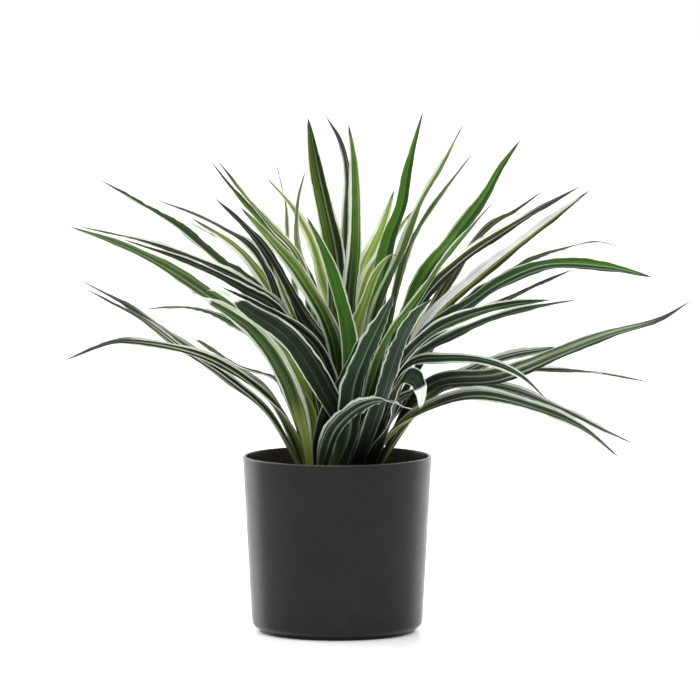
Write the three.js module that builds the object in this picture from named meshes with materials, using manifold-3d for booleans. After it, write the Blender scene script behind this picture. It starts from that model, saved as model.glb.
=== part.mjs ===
// Potted spider plant: strap leaves, green with cream margins, in a tapered charcoal pot.
// Millimetres, +Z up. The origin is the middle of the pot's foot, and -Y is the front.

import * as THREE from 'three';
import { mergeVertices } from 'three/addons/utils/BufferGeometryUtils.js';
import Module from 'manifold-3d';

const wasm = await Module();
wasm.setup();

// Driving dimensions
const GAP = 0.3;
const POT = {
  rimRadius: 75,
  lowRadius: 67.6,
  height: 140,
  wall: 2.4,
  lip: 1.1,
  lowEdge: 6,
  footRadius: 62,
  footHeight: 2.6,
  floor: 4,
  sides: 56,
};
const SOIL = { top: 115, mound: 2.5, sides: 40 };
const CROWN = { radius: 29, rise: 3, depth: 30, edge: 3, sides: 36 };
const ROOT = { depth: 9, width: 5.6, thickness: 1.2 };
const BLADE = {
  thickness: 0.7,
  tipHalfWidth: 0.5,
  stations: 14,
  rootFold: 30,
  openFold: 10,
  wave: 0.9,
  waveLength: 62,
  waveShift: 2.4,
};
const CROWN_TOP = SOIL.top + CROWN.rise;

// A leaf's depth grows slowly at first along its line. Its lower part is this share of it.
const DEPTH_EASE = 1.3;
const LOWER_PART = 0.3;

// The leaf lines are placed as they look from the front, from a viewpoint this far from the
// plant and this high, and a little to its right.
const VIEW = { distance: 4500, height: 618, across: 10 };

// The rings of roots in the crown, from the outer one in, and how many leaves each holds.
const RINGS = [
  { radius: 25, leaves: 20 },
  { radius: 19.5, leaves: 16 },
  { radius: 14, leaves: 11 },
  { radius: 9, leaves: 7 },
  { radius: 4, leaves: 3 },
];

// How a leaf is given: how far back its tip lies, its blade's greatest width, the degrees that
// the blade turns its upper side to the front, its taper (high for a blunt tip, low for a long
// one), and points on its line as seen from the front, across and up, out to the tip.
function leaf(depth, width, face, taper, ...line) {
  return { depth, width, face, taper, line };
}

const LEAVES = [
  leaf(70, 15, 12, 3, [-53, 260], [-93, 295], [-125, 322], [-156, 341], [-187, 359]),
  leaf(-30, 20, 42, 3, [-16, 152], [-23, 186], [-41, 216], [-69, 242], [-106, 271], [-160, 303], [-211, 322]),
  leaf(45, 17, 17, 3, [-45, 256], [-75, 279], [-109, 295], [-148, 309], [-203, 322]),
  leaf(19, 17, 25, 3, [-45, 252], [-75, 272], [-109, 290], [-169, 312]),
  leaf(120, 13, -10, 3, [-60, 295], [-93, 322], [-141, 343]),
  leaf(155, 15, 0, 4, [-28, 236], [-56, 275], [-77, 302], [-115, 329]),
  leaf(185, 13, -20, 3, [-43, 264], [-74, 299], [-117, 326]),
  leaf(28, 18, 27, 4, [-6, 218], [-27, 249], [-57, 302], [-77, 326], [-96, 344]),
  leaf(-10, 18, 52, 5, [-3, 228], [-29, 281], [-53, 311], [-76, 337]),
  leaf(80, 13, 0, 4, [-30, 295], [-52, 322], [-74, 348], [-94, 374]),
  leaf(100, 13, 0, 4, [-22, 280], [-41, 304], [-60, 326], [-83, 352], [-99, 373]),
  leaf(150, 16, -10, 4, [4, 224], [-10, 272], [-21, 311], [-36, 338], [-55, 360]),
  leaf(130, 10, -25, 3, [-23, 276], [-32, 311], [-31, 343], [-25, 367]),
  leaf(190, 11, -50, 3, [-39, 311], [-41, 339], [-48, 372]),
  leaf(0, 17, 15, 4, [-22, 215], [-34, 248], [-44, 272], [-52, 294]),
  leaf(-70, 18, 36, 2, [-28, 141], [-45, 173], [-72, 199], [-105, 218], [-148, 229], [-178, 230], [-216, 216]),
  leaf(0, 16, 30, 2, [-33, 135], [-57, 174], [-91, 203], [-125, 226], [-156, 249], [-198, 272]),
  leaf(50, 15, 25, 2, [-60, 192], [-113, 222], [-156, 253], [-202, 279]),
  leaf(180, 14, -12, 3, [-45, 196], [-77, 210], [-109, 230], [-141, 248]),
  leaf(-80, 17, -42, 5, [-22, 134], [-29, 169], [-43, 207], [-65, 238], [-89, 256], [-117, 271]),
  leaf(-130, 20, -35, 5, [5, 153], [-12, 194], [-37, 232], [-69, 255], [-91, 270], [-101, 272], [-106, 268]),
  leaf(-60, 17, -20, 4, [-8, 200], [-19, 227], [-47, 251], [-91, 274]),
  leaf(-90, 16, 10, 5, [9, 232], [1, 268], [-10, 302], [-24, 330]),
  leaf(60, 19, 0, 7, [-2, 291], [-10, 335], [-17, 367], [-23, 408]),
  leaf(100, 12, -5, 4, [7, 323], [8, 360], [3, 388], [-9, 410]),
  leaf(22, 14, -8, 6, [10, 264], [14, 311], [13, 375], [9, 403]),
  leaf(170, 19, 0, 4, [12, 246], [21, 287], [36, 323], [45, 351]),
  leaf(80, 18, 15, 2.5, [40, 309], [51, 339], [56, 368], [68, 414]),
  leaf(110, 18, 5, 4, [23, 276], [34, 299], [59, 334]),
  leaf(20, 15, 20, 4, [32, 257], [51, 302], [64, 337], [82, 369], [99, 402]),
  leaf(60, 13, 0, 4, [46, 265], [57, 305], [76, 338], [106, 379]),
  leaf(-60, 15, 0, 5, [15, 238], [23, 264], [32, 287], [44, 300], [48, 298]),
  leaf(-150, 22, 5, 5, [9, 153], [13, 192], [22, 220], [34, 246], [45, 269]),
  leaf(-170, 15, 0, 5, [16, 137], [31, 175], [40, 202], [49, 228], [61, 251], [75, 265]),
  leaf(-160, 17, -20, 4, [-6, 153], [1, 165], [20, 180], [38, 184], [54, 178], [64, 176]),
  leaf(-100, 22, 55, 4, [36, 153], [45, 178], [51, 195], [57, 203], [63, 201], [67, 190], [66, 175]),
  leaf(-70, 12, 0, 4, [-15, 134], [-10, 169], [5, 202], [20, 232], [31, 249]),
  leaf(68, 9, 0, 4, [2, 262], [1, 291], [5, 311]),
  leaf(75, 19, 25, 4, [68, 280], [91, 311], [116, 345], [131, 371], [145, 391]),
  leaf(-10, 14, 25, 4, [36, 224], [62, 262], [89, 301], [122, 340]),
  leaf(130, 14, 20, 3, [116, 318], [143, 336], [162, 350]),
  leaf(50, 16, 38, 3, [64, 259], [96, 294], [137, 322], [192, 354]),
  leaf(15, 16, 45, 4, [74, 246], [112, 283], [155, 317], [200, 351]),
  leaf(90, 13, 12, 3, [97, 256], [143, 290], [180, 305], [207, 310], [221, 307]),
  leaf(-20, 17, 33, 4, [62, 228], [109, 264], [129, 277], [165, 291], [212, 290], [249, 282]),
  leaf(-60, 13, 20, 3, [46, 209], [85, 240], [128, 261], [151, 272], [186, 288]),
  leaf(-112, 17, 50, 4, [46, 207], [75, 238], [105, 252], [137, 260], [169, 264]),
  leaf(-50, 17, 32, 3, [56, 211], [97, 238], [143, 255], [189, 264]),
  leaf(180, 13, -25, 3, [62, 242], [82, 267], [112, 285]),
  leaf(0, 20, 55, 1.8, [74, 194], [129, 203], [177, 222], [216, 237], [255, 248], [280, 263]),
  leaf(-108, 13, 40, 3, [56, 211], [85, 217], [117, 215], [145, 204], [165, 186]),
  leaf(26, 14, 23, 3, [-60, 228], [-87, 247], [-106, 255], [-122, 258], [-150, 257]),
  leaf(130, 13, 10, 3, [58, 184], [100, 204], [146, 207], [193, 207], [246, 199]),
  leaf(-50, 18, 37, 3, [28, 134], [46, 159], [78, 180], [113, 188], [161, 177], [195, 162], [223, 139]),
  leaf(35, 18, 32, 3, [85, 194], [129, 194], [177, 177], [212, 160], [234, 150]),
  leaf(230, 16, -28, 3, [18, 172], [30, 200], [42, 209], [53, 203]),
  leaf(48, 13, 22, 5, [45, 180], [82, 196], [113, 211], [137, 219], [174, 226]),
];

const COLOURS = { pot: 0x383634, soil: 0x2a211a, crown: 0x8b9a5a, leaf: 0x4f7a35 };

function material(colour, roughness) {
  return new THREE.MeshStandardMaterial({ color: colour, roughness, metalness: 0 });
}

// A solid for cutting, from a closed geometry placed in the object's frame.
function solidOf(geometry) {
  const bare = geometry.clone();
  bare.deleteAttribute('normal');
  bare.deleteAttribute('uv');
  const merged = mergeVertices(bare, 1e-4);
  return new wasm.Manifold(new wasm.Mesh({
    numProp: 3,
    vertProperties: new Float32Array(merged.attributes.position.array),
    triVerts: new Uint32Array(merged.index.array),
  }));
}

function geometryOf(solid) {
  const mesh = solid.getMesh();
  const geometry = new THREE.BufferGeometry();
  geometry.setAttribute('position', new THREE.BufferAttribute(mesh.vertProperties, 3));
  geometry.setIndex(new THREE.BufferAttribute(mesh.triVerts, 1));
  geometry.computeVertexNormals();
  return geometry;
}

// A turned body: a profile of [radius, height] pairs from the axis, spun about +Z.
function turned(profile, sides) {
  const points = profile.map(([radius, height]) => new THREE.Vector2(radius, height));
  return new THREE.LatheGeometry(points, sides).rotateX(Math.PI / 2);
}

// Points of a rounded corner about a centre, between two angles in degrees.
function corner([radius, height], bend, from, to, steps) {
  return Array.from({ length: steps + 1 }, (_, i) => {
    const angle = THREE.MathUtils.degToRad(from + ((to - from) * i) / steps);
    return [radius + bend * Math.cos(angle), height + bend * Math.sin(angle)];
  });
}

// The outer wall's radius at a height, straight from the low edge up to the rim.
function wallRadius(height) {
  const share = (height - POT.footHeight) / (POT.height - POT.footHeight);
  return POT.lowRadius + (POT.rimRadius - POT.lowRadius) * share;
}

function potMesh() {
  const inside = POT.footHeight + POT.floor;
  const lowEdge = corner(
    [POT.lowRadius - POT.lowEdge, POT.footHeight + POT.lowEdge], POT.lowEdge, -90, 0, 5);
  const lip = corner([POT.rimRadius - POT.lip, POT.height - POT.lip], POT.lip, 0, 90, 3);
  const inner = corner(
    [POT.rimRadius - POT.wall + POT.lip / 2, POT.height - POT.lip / 2], POT.lip / 2, 90, 180, 2);
  const profile = [
    [0, 0],
    [POT.footRadius - 0.6, 0],
    [POT.footRadius, 0.6],
    [POT.footRadius, POT.footHeight],
    ...lowEdge,
    ...lip,
    ...inner,
    [wallRadius(inside + 5) - POT.wall, inside + 5],
    [wallRadius(inside) - POT.wall - 4, inside],
    [0, inside],
  ];
  return new THREE.Mesh(turned(profile, POT.sides), material(COLOURS.pot, 0.5));
}

function soilMesh() {
  const low = POT.footHeight + POT.floor + GAP;
  const hole = CROWN.radius + GAP;
  const holeFloor = CROWN_TOP - CROWN.depth - GAP;
  const edge = wallRadius(SOIL.top) - POT.wall - GAP;
  const profile = [
    [0, low],
    [wallRadius(low) - POT.wall - GAP - 4.2, low],
    [wallRadius(low + 5) - POT.wall - GAP - 0.2, low + 5],
    [edge - 0.2, SOIL.top - SOIL.mound - 1.5],
    [edge - 2.5, SOIL.top - SOIL.mound],
    [(edge + hole) / 2, SOIL.top - SOIL.mound / 3],
    [hole, SOIL.top],
    [hole, holeFloor],
    [0, holeFloor],
  ];
  return new THREE.Mesh(turned(profile, SOIL.sides), material(COLOURS.soil, 1));
}

// Where a leaf's lower part ends, from the middle of the crown's top.
function lowPoint(leaf) {
  const line = new THREE.CatmullRomCurve3(
    [[0, CROWN_TOP], ...leaf.line].map(([across, up]) => new THREE.Vector3(across, 0, up)));
  const low = line.getPointAt(LOWER_PART);
  return new THREE.Vector3(low.x, leaf.depth * LOWER_PART ** DEPTH_EASE, low.z - CROWN_TOP);
}

// Where each leaf roots: the leaves that lean out most take the outer ring, and in a ring
// they stand evenly, in the order of the way they head.
function rootLeaves() {
  const waiting = LEAVES.map((leaf) => {
    const low = lowPoint(leaf);
    return { leaf, lean: Math.hypot(low.x, low.y) / low.z, heading: Math.atan2(low.y, low.x) };
  }).sort((a, b) => b.lean - a.lean);
  for (const ring of RINGS) {
    const here = waiting.splice(0, ring.leaves).sort((a, b) => a.heading - b.heading);
    const step = (2 * Math.PI) / here.length;
    const drift = here.map((entry, i) => entry.heading - i * step);
    const start = Math.atan2(
      drift.reduce((sum, angle) => sum + Math.sin(angle), 0),
      drift.reduce((sum, angle) => sum + Math.cos(angle), 0));
    here.forEach((entry, i) => {
      entry.leaf.rootAngle = start + i * step;
      entry.leaf.rootRadius = ring.radius;
    });
  }
}

// The place in the object's frame of a point seen from the front, at a depth.
function fromFront([across, up], depth) {
  const grow = 1 + depth / VIEW.distance;
  return new THREE.Vector3(
    VIEW.across + (across - VIEW.across) * grow,
    depth,
    VIEW.height + (up - VIEW.height) * grow);
}

function smooth(from, to, value) {
  return THREE.MathUtils.smoothstep(value, from, to);
}

// The line of a leaf, from its root at the crown's top out to its tip.
function leafCurve(leaf) {
  const root = new THREE.Vector3(
    leaf.rootRadius * Math.cos(leaf.rootAngle), leaf.rootRadius * Math.sin(leaf.rootAngle), CROWN_TOP);
  const seen = [[root.x, CROWN_TOP + (root.y * (VIEW.height - CROWN_TOP)) / VIEW.distance], ...leaf.line];
  const along = [0];
  for (let i = 1; i < seen.length; i++) {
    along.push(along[i - 1] + Math.hypot(seen[i][0] - seen[i - 1][0], seen[i][1] - seen[i - 1][1]));
  }
  const points = leaf.line.map((point, i) => {
    const share = along[i + 1] / along.at(-1);
    return fromFront(point, root.y + (leaf.depth - root.y) * share ** DEPTH_EASE);
  });
  return new THREE.CatmullRomCurve3([root, ...points]);
}

// The six corners of a leaf's section: across the upper side, then back across the lower.
function section(centre, side, up, half, fold, thickness, lift) {
  const rise = Math.sin(fold) * half;
  const [left, right] = [1, -1].map((way, i) => centre.clone()
    .addScaledVector(side, way * Math.cos(fold) * half)
    .addScaledVector(up, rise + lift[i]));
  const upper = [left, centre.clone(), right];
  const lower = upper.map((corner) => corner.clone().addScaledVector(up, -thickness / Math.cos(fold)));
  return [...upper, ...lower.reverse()];
}

function leafSections(leaf, index) {
  const curve = leafCurve(leaf);
  const length = curve.getLength();
  const tip = curve.getPointAt(1);
  const root = curve.getPointAt(0);
  const heading = Math.atan2(tip.y - root.y, tip.x - root.x);
  const turn = Math.atan2(Math.sin(heading - leaf.rootAngle), Math.cos(heading - leaf.rootAngle));
  const roll = THREE.MathUtils.degToRad(leaf.face) * Math.sign(tip.x);
  const phase = index * BLADE.waveShift;
  const rings = [];
  const upright = new THREE.Vector3(0, 0, 1);
  const across = new THREE.Vector3(-Math.sin(leaf.rootAngle), Math.cos(leaf.rootAngle), 0);
  const inward = new THREE.Vector3(-Math.cos(leaf.rootAngle), -Math.sin(leaf.rootAngle), 0);
  const rootFold = THREE.MathUtils.degToRad(BLADE.rootFold);
  for (const down of [ROOT.depth, 0]) {
    const centre = root.clone().addScaledVector(upright, -down);
    rings.push(section(centre, across, inward, ROOT.width / 2, rootFold, ROOT.thickness, [0, 0]));
  }
  for (let i = 1; i <= BLADE.stations; i++) {
    const share = i / BLADE.stations;
    const centre = curve.getPointAt(share);
    const along = curve.getTangentAt(share);
    const angle = leaf.rootAngle + turn * smooth(0, 0.3, share);
    const level = new THREE.Vector3(-Math.sin(angle), Math.cos(angle), 0);
    const side = level.addScaledVector(along, -level.dot(along)).normalize();
    side.applyAxisAngle(along, roll * smooth(0.05, 0.45, share));
    const up = along.clone().cross(side);
    const broad = ROOT.width + (leaf.width - ROOT.width) * smooth(0, 0.38, share);
    const half = Math.max(BLADE.tipHalfWidth, (broad / 2) * (1 - share ** leaf.taper) ** 0.85);
    const opened = (BLADE.rootFold - BLADE.openFold) * smooth(0, 0.7, share);
    const fold = THREE.MathUtils.degToRad(BLADE.rootFold - opened);
    const thickness = ROOT.thickness + (BLADE.thickness - ROOT.thickness) * smooth(0, 0.4, share);
    const swell = BLADE.wave * smooth(0.2, 0.5, share) * (1 - smooth(0.8, 1, share));
    const at = (2 * Math.PI * share * length) / BLADE.waveLength + phase;
    const lift = [swell * Math.sin(at), swell * Math.sin(at + 2)];
    rings.push(section(centre, side, up, half, fold, thickness, lift));
  }
  return rings;
}

// A closed blade through its sections. The upper and lower sides split into triangles alike.
function bladeGeometry(rings) {
  const corners = 6;
  const index = [];
  for (let i = 0; i + 1 < rings.length; i++) {
    for (let k = 0; k < corners; k++) {
      const a = i * corners + k;
      const b = i * corners + ((k + 1) % corners);
      const c = b + corners;
      const d = a + corners;
      index.push(...(k < 3 ? [a, b, c, a, c, d] : [a, b, d, b, c, d]));
    }
  }
  const last = (rings.length - 1) * corners;
  for (const [a, b, c] of [[0, 1, 4], [0, 4, 5], [1, 2, 3], [1, 3, 4]]) {
    index.push(a, c, b, last + a, last + b, last + c);
  }
  const geometry = new THREE.BufferGeometry();
  const places = rings.flat().flatMap((point) => point.toArray());
  geometry.setAttribute('position', new THREE.Float32BufferAttribute(places, 3));
  geometry.setIndex(index);
  geometry.computeVertexNormals();
  return geometry;
}

function leafMesh(leaf, index) {
  const mesh = new THREE.Mesh(bladeGeometry(leafSections(leaf, index)), material(COLOURS.leaf, 0.55));
  mesh.name = `leaf_${String(index + 1).padStart(2, '0')}`;
  return mesh;
}

// The crown fills a hole in the soil, and each leaf stands in a plain hole in it.
function crownMesh() {
  const foot = CROWN_TOP - CROWN.depth;
  const profile = [
    [0, foot],
    [CROWN.radius - 8, foot],
    [CROWN.radius, foot + 8],
    ...corner([CROWN.radius - CROWN.edge, CROWN_TOP - CROWN.edge], CROWN.edge, 0, 90, 3),
    [0, CROWN_TOP],
  ];
  let body = solidOf(turned(profile, CROWN.sides));
  const over = 2;
  const fold = THREE.MathUtils.degToRad(BLADE.rootFold);
  const holeHeight = ROOT.depth + GAP + over;
  const foldRise = (ROOT.width / 2) * Math.sin(fold);
  const holeAcross = ROOT.width * Math.cos(fold) + 2 * GAP;
  const holeThrough = foldRise + ROOT.thickness / Math.cos(fold) + 2 * GAP;
  for (const { rootRadius, rootAngle } of LEAVES) {
    const middle = rootRadius + ROOT.thickness / 2 - foldRise / 2;
    const hole = new THREE.BoxGeometry(holeThrough, holeAcross, holeHeight);
    hole.translate(middle, 0, CROWN_TOP + over - holeHeight / 2);
    hole.rotateZ(rootAngle);
    body = body.subtract(solidOf(hole));
  }
  return new THREE.Mesh(geometryOf(body), material(COLOURS.crown, 0.8));
}

const plant = new THREE.Group();
const pot = potMesh();
pot.name = 'pot';
const soil = soilMesh();
soil.name = 'soil';
rootLeaves();
const crown = crownMesh();
crown.name = 'crown';
plant.add(pot, soil, crown, ...LEAVES.map(leafMesh));

export default plant;
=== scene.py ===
# Potted spider plant: the pieces that show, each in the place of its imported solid.
# +Z is up and -Y is the front. Lengths are in millimetres, and piece_of turns them into metres.
# In the materials, the lights and the studio they are in metres.

import math
from collections import namedtuple

import bpy
import numpy as np
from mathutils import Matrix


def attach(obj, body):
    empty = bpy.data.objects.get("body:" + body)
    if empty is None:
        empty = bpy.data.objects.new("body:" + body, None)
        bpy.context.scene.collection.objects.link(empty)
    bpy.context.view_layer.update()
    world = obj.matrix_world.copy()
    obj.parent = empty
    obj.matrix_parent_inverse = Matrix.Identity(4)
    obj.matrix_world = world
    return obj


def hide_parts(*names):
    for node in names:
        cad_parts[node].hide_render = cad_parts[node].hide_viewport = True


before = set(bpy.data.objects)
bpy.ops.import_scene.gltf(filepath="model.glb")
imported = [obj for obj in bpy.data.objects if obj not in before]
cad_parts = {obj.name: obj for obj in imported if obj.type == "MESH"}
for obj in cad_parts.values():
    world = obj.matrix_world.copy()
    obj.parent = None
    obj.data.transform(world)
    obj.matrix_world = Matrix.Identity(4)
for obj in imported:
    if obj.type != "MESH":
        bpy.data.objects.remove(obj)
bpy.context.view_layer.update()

# The pot is one moulded and tapered vessel with a thin rounded lip, a rounded lower edge and a low
# foot. It is satin charcoal all through, a little uneven, and stands free on its foot.
MM = 0.001
# The pot's outer sizes and its wall, then its foot ring, the bends of its edges, and its facets.
POT_HEIGHT, RIM_RADIUS, LOW_RADIUS, WALL = 140, 75, 67.6, 2.4
FOOT_RADIUS, FOOT_HEIGHT, FOOT_RING, FOOT_HOLLOW, POT_FLOOR = 62, 2.6, 5.5, 0.6, 4
LOW_BEND, LIP_BEND, INNER_LIP_BEND, FLOOR_BEND = 6, 1.1, 0.8, 5
POT_SIDES = 192


def wall_radius(height):
    """The outer wall's radius at a height, straight from the low edge up to the rim."""
    share = (height - FOOT_HEIGHT) / (POT_HEIGHT - FOOT_HEIGHT)
    return LOW_RADIUS + (RIM_RADIUS - LOW_RADIUS) * share


def corner(radius, height, bend, start, end, steps):
    """Points of a rounded corner about a centre, between two angles in degrees."""
    turns = np.radians(np.linspace(start, end, steps + 1))
    return [(radius + bend * math.cos(t), height + bend * math.sin(t)) for t in turns]


def piece_of(name, points, faces, smooth_under=None):
    """A piece of the plant from points in millimetres, riding with the plant."""
    mesh = bpy.data.meshes.new(name)
    mesh.from_pydata((np.asarray(points, float) * MM).tolist(), [], faces)
    mesh.shade_smooth()
    if smooth_under:
        mesh.set_sharp_from_angle(angle=math.radians(smooth_under))
    piece = bpy.data.objects.new(name, mesh)
    bpy.context.collection.objects.link(piece)
    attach(piece, "root")
    return piece


def turned(profile, sides):
    """Points and faces of a profile of (radius, height) pairs from the axis, spun round it."""
    points, faces, rings = [], [], []
    for radius, height in profile:
        if radius == 0:
            rings.append([len(points)] * sides)
            points.append((0, 0, height))
            continue
        rings.append(list(range(len(points), len(points) + sides)))
        for k in range(sides):
            turn = 2 * math.pi * k / sides
            points.append((radius * math.cos(turn), radius * math.sin(turn), height))
    for low, high in zip(rings, rings[1:]):
        for k in range(sides):
            n = (k + 1) % sides
            face = list(dict.fromkeys([low[k], low[n], high[n], high[k]]))
            faces.append(face)
    return points, faces


def paint(code):
    """A colour for a shader from its six-figure screen code."""
    levels = [int(code[i : i + 2], 16) / 255 for i in (0, 2, 4)]
    plain = [level / 12.92 if level <= 0.04045 else ((level + 0.055) / 1.055) ** 2.4
             for level in levels]
    return plain + [1.0]


def put(tree, kind, inputs=None, **settings):
    """A shader node in a tree, fed by values or by other nodes' outputs."""
    node = tree.nodes.new("ShaderNode" + kind)
    for name, value in settings.items():
        setattr(node, name, value)
    for place, feed in (inputs or {}).items():
        if isinstance(feed, bpy.types.NodeSocket):
            tree.links.new(feed, node.inputs[place])
        else:
            node.inputs[place].default_value = feed
    return node


def reckon(tree, operation, *values):
    """The outcome of a sum on numbers or on other nodes' outputs."""
    return put(tree, "Math", dict(enumerate(values)), operation=operation).outputs[0]


def ramp(tree, value, start, end, low=0.0, high=1.0):
    """A value that eases from low to high while another goes from start to end."""
    inputs = {"Value": value, "From Min": start, "From Max": end, "To Min": low, "To Max": high}
    return put(tree, "MapRange", inputs, interpolation_type="SMOOTHSTEP").outputs[0]


def blend(tree, share, first, second, way="MIX"):
    """The first colour with a share of the second over it."""
    return put(tree, "Mix", {0: share, 6: first, 7: second}, data_type="RGBA", blend_type=way).outputs[2]


def noise(tree, place, scale, detail=3.0, rough=0.55):
    """Cloudy noise from 0 to 1, finer at a higher scale."""
    inputs = {"Vector": place, "Scale": scale, "Detail": detail, "Roughness": rough}
    return put(tree, "TexNoise", inputs).outputs["Fac"]


def finish_of(name):
    """A new material with its Principled shader, and the place on the piece in metres."""
    material = bpy.data.materials.new(name)
    material.use_nodes = True
    tree = material.node_tree
    return material, tree, tree.nodes["Principled BSDF"], put(tree, "TexCoord").outputs["Object"]


def relief(tree, shader, height, strength, distance):
    """Fine relief on a surface, as deep as distance at full strength."""
    bump = put(tree, "Bump", {"Height": height, "Strength": strength, "Distance": distance})
    tree.links.new(bump.outputs[0], shader.inputs["Normal"])


inside = FOOT_HEIGHT + POT_FLOOR
inside_radius = wall_radius(inside) - WALL
pot_profile = [
    (0, FOOT_HOLLOW),
    (FOOT_RADIUS - FOOT_RING - 2.5, FOOT_HOLLOW),
    (FOOT_RADIUS - FOOT_RING, 0),
    (FOOT_RADIUS - 0.6, 0),
    (FOOT_RADIUS - 0.1, 0.3),
    (FOOT_RADIUS, 0.8),
    (FOOT_RADIUS, FOOT_HEIGHT - 0.5),
    (FOOT_RADIUS + 0.5, FOOT_HEIGHT),
    *corner(LOW_RADIUS - LOW_BEND, FOOT_HEIGHT + LOW_BEND, LOW_BEND, -90, 0, 14),
    *[(wall_radius(h), h) for h in np.linspace(FOOT_HEIGHT + 10, POT_HEIGHT - 3, 26)],
    *corner(RIM_RADIUS - LIP_BEND, POT_HEIGHT - LIP_BEND, LIP_BEND, 0, 90, 7),
    *corner(RIM_RADIUS - WALL + INNER_LIP_BEND, POT_HEIGHT - INNER_LIP_BEND, INNER_LIP_BEND, 90, 180, 5),
    *[(wall_radius(h) - WALL, h) for h in np.linspace(POT_HEIGHT - 3, inside + FLOOR_BEND, 20)],
    *corner(inside_radius - FLOOR_BEND + 0.5, inside + FLOOR_BEND, FLOOR_BEND, 0, -90, 5)[1:-1],
    (inside_radius - FLOOR_BEND - 1, inside),
    (0, inside),
]
vessel = piece_of("pot_moulded", *turned(pot_profile, POT_SIDES), smooth_under=60)
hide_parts("pot")

# Softly mottled and speckled, with painted light: a lighter grey on the lip and on the inner side, where
# light catches them.
# The inner side is told from the outer side by how far it lies from the axis at each height.
charcoal, tree, shader, place = finish_of("satin_charcoal")
mottle = noise(tree, place, 34, 5)
speck = ramp(tree, noise(tree, place, 900, 2), 0.62, 0.75)
body = blend(tree, ramp(tree, mottle, 0.35, 0.7), paint("0c0b0a"), paint("121110"))
body = blend(tree, reckon(tree, "MULTIPLY", speck, 0.25), body, paint("3a3836"))
where = put(tree, "SeparateXYZ", {0: place}).outputs
# Painted light: a lighter grey on the lip, and further down on the inner side above the floor.
lip_painted_light = ramp(tree, where[2], (POT_HEIGHT - 1.4) * MM, (POT_HEIGHT - 0.3) * MM, 0, 0.8)
body = blend(tree, lip_painted_light, body, paint("4b4947"))
squares = [reckon(tree, "MULTIPLY", where[k], where[k]) for k in (0, 1)]
from_axis = reckon(tree, "POWER", reckon(tree, "ADD", *squares), 0.5)
slope = (RIM_RADIUS - LOW_RADIUS) / (POT_HEIGHT - FOOT_HEIGHT)
skin = reckon(tree, "MULTIPLY_ADD", where[2], slope, LOW_RADIUS * MM)
inner_painted_light = ramp(tree, reckon(tree, "SUBTRACT", from_axis, skin), -0.5 * WALL * MM, -WALL * MM + 0.0004)
above_floor = ramp(tree, where[2], inside * MM, (inside + 2) * MM)
body = blend(tree, reckon(tree, "MULTIPLY", inner_painted_light, above_floor), body, paint("4a4340"))
tree.links.new(body, shader.inputs["Base Color"])
tree.links.new(ramp(tree, noise(tree, place, 55, 4), 0.3, 0.7, 0.22, 0.29), shader.inputs["Roughness"])
shader.inputs["Specular IOR Level"].default_value = 0.25
relief(tree, shader, noise(tree, place, 420, 3), 0.12, 0.0004)
vessel.data.materials.append(charcoal)

# The potting soil is dark peat with crumbs and a little grit. It is pressed in loosely below the
# lip, a little higher round the crown than at the wall.
SOIL_TOP, SOIL_MOUND, SOIL_GAP, SOIL_SIDES = 115, 2.5, 0.3, 168
SOIL_EDGE = wall_radius(SOIL_TOP) - WALL - SOIL_GAP
# The crown's radius, which the soil's hole goes round. The crown itself comes further down.
CROWN_RADIUS = 29
# How many crumbs lie on top, the sizes of small and large ones, and how often a large one comes.
CRUMBS, SMALL_CRUMB, LARGE_CRUMB, LARGE_EVERY = 620, (0.7, 2.4), (2.2, 3.6), 6


def towards_crown(reach):
    """How far a place at a distance from the axis lies from the soil's edge to the crown, 0 to 1."""
    return np.clip((SOIL_EDGE - reach) / (SOIL_EDGE - CROWN_RADIUS), 0, 1)


def soil_height(reach):
    """The soil's height at a distance from the axis, lower towards the wall."""
    return SOIL_TOP - SOIL_MOUND * (1 - towards_crown(reach) ** 0.7)


def lumps(x, y, seed):
    """A smooth uneven height, about -1 to 1, made of waves that run in many directions."""
    rng = np.random.default_rng(seed)
    total = 0
    for _ in range(14):
        turn, size, shift = rng.uniform(0, 2 * math.pi), rng.uniform(4.0, 15.0), rng.uniform(0, 6.3)
        total = total + np.sin((x * math.cos(turn) + y * math.sin(turn)) * 2 * math.pi / size + shift)
    return total / 5


# The corners and faces of a twenty-sided form about one millimetre in radius.
GOLDEN = (1 + 5 ** 0.5) / 2
CRUMB_POINTS = [np.array(point) / 1.9 for point in (
    (-1, GOLDEN, 0), (1, GOLDEN, 0), (-1, -GOLDEN, 0), (1, -GOLDEN, 0),
    (0, -1, GOLDEN), (0, 1, GOLDEN), (0, -1, -GOLDEN), (0, 1, -GOLDEN),
    (GOLDEN, 0, -1), (GOLDEN, 0, 1), (-GOLDEN, 0, -1), (-GOLDEN, 0, 1))]
CRUMB_FACES = [
    (0, 11, 5), (0, 5, 1), (0, 1, 7), (0, 7, 10), (0, 10, 11), (1, 5, 9), (5, 11, 4),
    (11, 10, 2), (10, 7, 6), (7, 1, 8), (3, 9, 4), (3, 4, 2), (3, 2, 6), (3, 6, 8),
    (3, 8, 9), (4, 9, 5), (2, 4, 11), (6, 2, 10), (8, 6, 7), (9, 8, 1)]


def add_crumb(points, faces, centre, size, rng):
    """A knobbly crumb, from a twenty-sided form whose corners are pulled in and out."""
    first = len(points)
    for direction in CRUMB_POINTS:
        points.append(tuple(np.array(centre) + direction * size * rng.uniform(0.7, 1.25, 3)))
    faces.extend([tuple(first + k for k in face) for face in CRUMB_FACES])


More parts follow.
